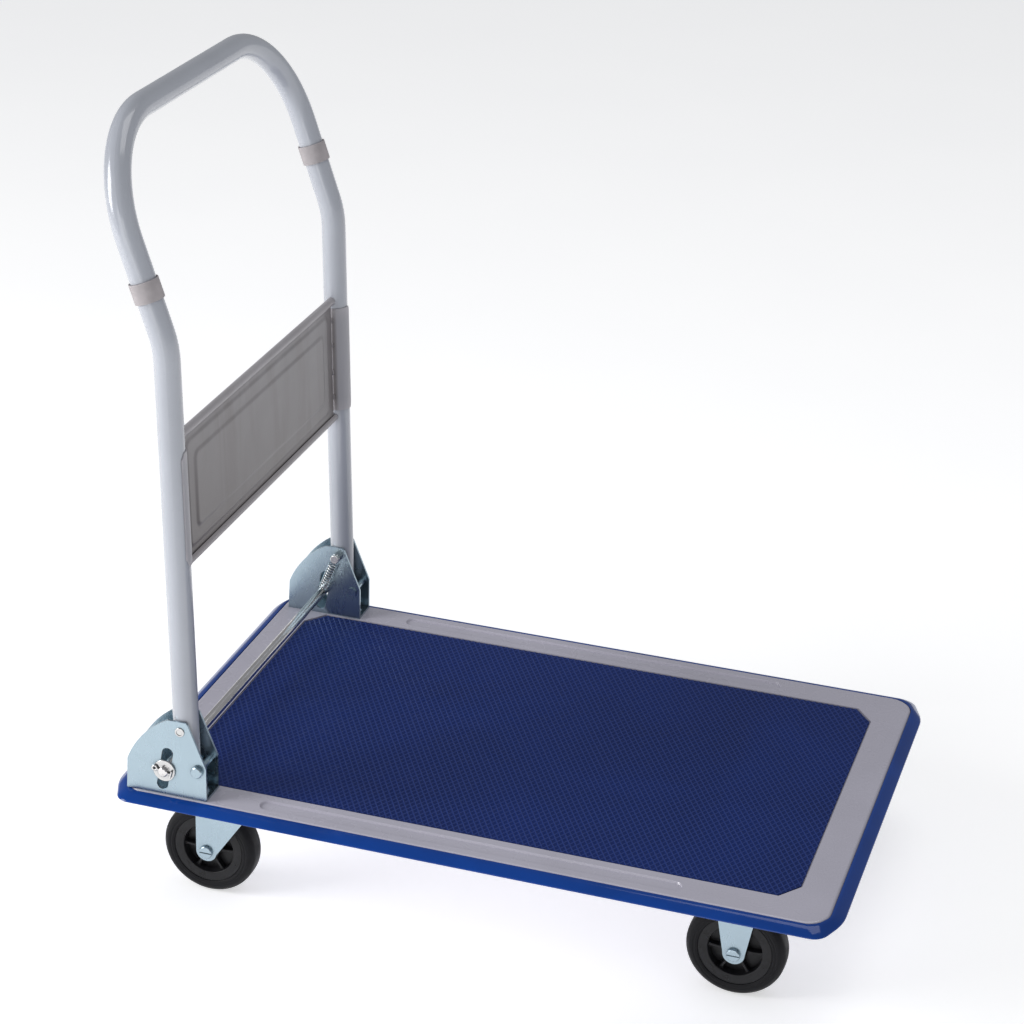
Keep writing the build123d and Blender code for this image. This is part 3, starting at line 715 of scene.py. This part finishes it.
def neck_band(side, material):
    """Moulded band a hair off the tube, with rounded rims and flared mouths."""
    low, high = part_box("grip_ring_" + side)
    centre = (low + high) / 2
    half = 10 * MM
    bore = TUBE + 0.05 * MM
    mouth = 13.3 * MM
    outside = 14.5 * MM
    flare = 1.5 * MM
    profile = rounded([(bore, -half + flare, 0.4 * MM), (mouth, -half), (outside, -half),
                       (outside, half), (mouth, half), (bore, half - flare, 0.4 * MM)], 0.5 * MM)
    points, faces = lathe(profile, 72)
    piece = make_piece("neck_band_" + side, points, faces, material, 45)
    clean_up(piece)
    piece.location = centre
    piece.rotation_mode = "QUATERNION"
    piece.rotation_quaternion = Vector((-sin(NECK_LEAN), 0, cos(NECK_LEAN))).to_track_quat("Y", "X")
    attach(piece, "handle")
    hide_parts("grip_ring_" + side)


# ---------------------------------------------------------------- wheels

def tyre_mesh(material):
    """Solid tyre: crowned tread, round shoulders, and a shallow moulded ring on each sidewall."""
    right = [(37, -12.0, 0.7), (39.6, -13.3, 0.7), (40.6, -12.9, 0.3), (41.4, -12.9, 0.3),
             (42.4, -13.4, 0.7), (45.5, -12.6, 3), (49.6, -8.5, 4), (50.0, 0, 2)]
    outline = right + [(out, -along, radius) for out, along, radius in reversed(right[:-1])]
    profile = rounded([tuple(value * MM for value in corner) for corner in outline], 0.7 * MM, 5)
    points, faces = lathe(profile, 128)
    piece = make_piece("tyre_solid", points, faces, material, 50)
    clean_up(piece)
    return piece


def rim_mesh(material):
    """Moulded centre: band with a rounded lip, thin web, hub and six ribs that widen at both ends."""
    def metres(*corners):
        return [(out * MM, along * MM) for out, along in corners]

    ribs = 6
    band = rounded(metres((27.2, -11.6), (37, -12), (37, 12), (27.2, 11.6), (26.6, 2), (26.6, -2)),
                   1.1 * MM, 3)
    web = metres((10, -2), (27.5, -2), (27.5, 2), (10, 2))
    hub = rounded(metres((6.55, -14.3), (11, -14.3), (12.4, -12), (12.4, 12), (11, 14.3), (6.55, 14.3)),
                  0.6 * MM, 3)
    parts = [lathe(band, 96), lathe(web, 96), lathe(hub, 72)]
    for i in range(ribs):
        turn = 2 * pi * i / ribs
        out = Vector((cos(turn), 0, sin(turn)))
        side = Vector((-sin(turn), 0, cos(turn)))
        points = []
        for k in range(9):
            share = k / 8
            reach = (11.0 + 17.0 * share) * MM
            width = (1.5 + 1.9 * (2 * share - 1) ** 4) * MM
            height = (9.2 - 1.2 * smooth_step(share)) * MM
            flat = width - 0.6 * MM
            wall = height - 0.8 * MM
            ring = [(width, -wall), (flat, -height), (-flat, -height), (-width, -wall),
                    (-width, wall), (-flat, height), (flat, height), (width, wall)]
            points += [out * reach + side * a + Vector((0, b, 0)) for a, b in ring]
        faces = [(k * 8 + j, k * 8 + (j + 1) % 8, k * 8 + 8 + (j + 1) % 8, k * 8 + 8 + j)
                 for k in range(8) for j in range(8)]
        faces += [tuple(range(7, -1, -1)), tuple(64 + j for j in range(8))]
        parts.append((points, faces))
    points, faces = join_meshes(parts)
    piece = make_piece("rim_moulding", points, faces, material, 40)
    clean_up(piece)
    return piece


def fit_wheels(tyre_material, rim_material):
    """One tyre and one rim, shared by the four wheels."""
    shapes = {"tyre": tyre_mesh(tyre_material), "rim": rim_mesh(rim_material)}
    for kind, first in shapes.items():
        for number, (end, side) in enumerate((e, s) for e in ("front", "rear") for s in SIDES):
            piece = first if number == 0 else bpy.data.objects.new(kind, first.data)
            if number:
                bpy.context.scene.collection.objects.link(piece)
            tail = end + "_" + side
            piece.name = kind + "_detail_" + tail
            piece.location = joints["wheel_spin_" + tail]["pos_m"]
            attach(piece, "wheel_" + tail)
            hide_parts(kind + "_" + tail)


# ---------------------------------------------------------------- the return springs

def return_spring(side, material):
    """Wound extension spring with a hook round the pivot pin and one round the bar."""
    pivot = Vector(joints["handle_fold"]["pos_m"])
    bar_low, bar_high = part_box("release_bar")
    low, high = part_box("return_spring_" + side)
    bar = (bar_low + bar_high) / 2
    middle = (low.y + high.y) / 2
    top = Vector((pivot.x, middle, pivot.z))
    end = Vector((bar.x, middle, bar.z))
    down = (end - top).normalized()
    across = Vector((0, 1, 0))
    front = down.cross(across)
    span = (end - top).length
    wire = 0.62 * MM
    coil = 4.5 * MM
    hook = 4.5 * MM
    shank = 3.2 * MM
    turns = 10
    around = 16
    coil_from = hook + shank
    coil_to = span - hook - shank
    path = []
    for i in range(21):
        turn = radians(-60 - 300 * i / 20)
        path.append(top + (front * sin(turn) + down * cos(turn)) * hook)
    steps = around * turns
    for i in range(steps + 1):
        turn = 2 * pi * i / around
        grow = min(1, i / 6, (steps - i) / 6)
        outward = across * sin(turn) + front * cos(turn)
        path.append(top + down * (coil_from + (coil_to - coil_from) * i / steps) + outward * coil * grow)
    for i in range(21):
        turn = radians(180 + 300 * i / 20)
        path.append(end + (front * sin(turn) + down * cos(turn)) * hook)
    points, faces = wire_mesh(path, wire, 8)
    piece = make_piece("spring_coil_" + side, points, faces, material, 60)
    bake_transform(piece)
    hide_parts("return_spring_" + side)


# ---------------------------------------------------------------- camera, light and floor

def place_camera():
    """The photograph's view: a long lens from the front right, slightly rolled."""
    azimuth = radians(16.65)
    elevation = radians(23.43)
    roll = radians(2.02)
    target = Vector((0.007, 0, 0.4827))
    distance = 2.6393
    back = Vector((sin(azimuth) * cos(elevation), -cos(azimuth) * cos(elevation), sin(elevation)))
    data = bpy.data.cameras.new("camera")
    data.sensor_width = 36
    data.lens = 94.68
    data.shift_x = -0.0304
    data.shift_y = -0.0727
    data.clip_end = 50
    camera = bpy.data.objects.new("camera", data)
    camera.location = target + back * distance
    camera.rotation_mode = "QUATERNION"
    camera.rotation_quaternion = back.to_track_quat("Z", "Y") @ Quaternion((0, 0, 1), roll)
    bpy.context.scene.collection.objects.link(camera)
    bpy.context.scene.camera = camera


def area_light(name, place, target, size, power, colour=(1, 1, 1)):
    data = bpy.data.lights.new(name, "AREA")
    data.shape = "RECTANGLE"
    data.size, data.size_y = size
    data.energy = power
    data.color = colour
    light = bpy.data.objects.new(name, data)
    light.location = place
    aim = Vector(target) - Vector(place)
    light.rotation_euler = aim.to_track_quat("-Z", "Y").to_euler()
    bpy.context.scene.collection.objects.link(light)


def light_studio():
    """Strong soft key from the left, a broad panel beside the camera, and a weak light overhead."""
    area_light("key", (-2.6, -1.5, 1.5), (0, 0, 0.4), (1.3, 1.8), 58)
    area_light("front", (0.0, -3.6, 1.0), (0, 0, 0.3), (2.6, 2.0), 24)
    area_light("top", (0.6, 0.6, 3.0), (0, 0, 0.2), (1.6, 1.6), 16)
    world = bpy.data.worlds.new("studio")
    world.use_nodes = True
    world.node_tree.nodes["Background"].inputs["Color"].default_value = (0.94, 0.96, 1.0, 1)
    world.node_tree.nodes["Background"].inputs["Strength"].default_value = 0.3
    bpy.context.scene.world = world
    bpy.context.scene.view_settings.view_transform = "Standard"


def lay_floor():
    """Pale seamless floor."""
    material = start_material("pale_floor", (0.9, 0.9, 0.9), Roughness=0.7, Emission_Strength=0.5,
                              Emission_Color=(1, 1, 1, 1))
    tone = remap(material, grain(material, 3, 3), 0, 1)
    feed(material, tint(material, tone, (0.89, 0.89, 0.895), (0.91, 0.91, 0.91)), "Base Color")
    half = 12
    corners = [(-half, -half, 0), (half, -half, 0), (half, half, 0), (-half, half, 0)]
    floor = make_piece("floor", corners, [(0, 1, 2, 3)], material)


# ---------------------------------------------------------------- assembly

def paint_nodes():
    """Gives every CAD node the material of its slot, and the small bright fittings a nickel one."""
    looks = {
        "deck_paint": enamel("deck_enamel", (0.50, 0.485, 0.565), 0.26),
        "zinc": zinc_plate("zinc", (0.40, 0.50, 0.565)),
        "nickel": zinc_plate("nickel", (0.66, 0.655, 0.65), 0.16, 0.04, 0.0),
        "bumper": gloss_vinyl("bumper_vinyl"),
        "bar_steel": scuffed_steel("bar_steel", (0.74, 0.725, 0.72)),
        "spring_steel": zinc_plate("spring_wire", (0.78, 0.79, 0.80), 0.16),
        "handle_paint": enamel("handle_enamel", (0.43, 0.45, 0.50), 0.16, coat=0.6),
        # the panel's darker, warmer grey is painted reflection and shade over the paler grey its flanges show
        "panel_paint": panel_enamel("panel_enamel", (0.31, 0.295, 0.31)),
        "ring": ring_plastic("ring_plastic"),
        "tyre": black_rubber("tyre_rubber"),
        "rim": black_plastic("rim_plastic"),
        "mat": mat_rubber("mat_rubber"),
    }
    for part in frame["record"]["subparts"]:
        data = nodes[part["node"]].data
        data.materials.clear()
        bright = part["node"] in ("bar_washers", "cotter_pins", "pivot_pins")
        data.materials.append(looks["nickel" if bright else part["material_slot"]])
    return looks


place_camera()
light_studio()
lay_floor()
looks = paint_nodes()
for name in nodes:
    if name.startswith(("hinge_bracket", "release_bar", "deck_pan", "bar_washers")):
        soften(name)
net_mat(looks["mat"])
bumper_strip(looks["bumper"])
pressed_panel(looks["panel_paint"])
fit_wheels(looks["tyre"], looks["rim"])
for side in SIDES:
    return_spring(side, looks["spring_steel"])
    neck_band(side, looks["ring"])
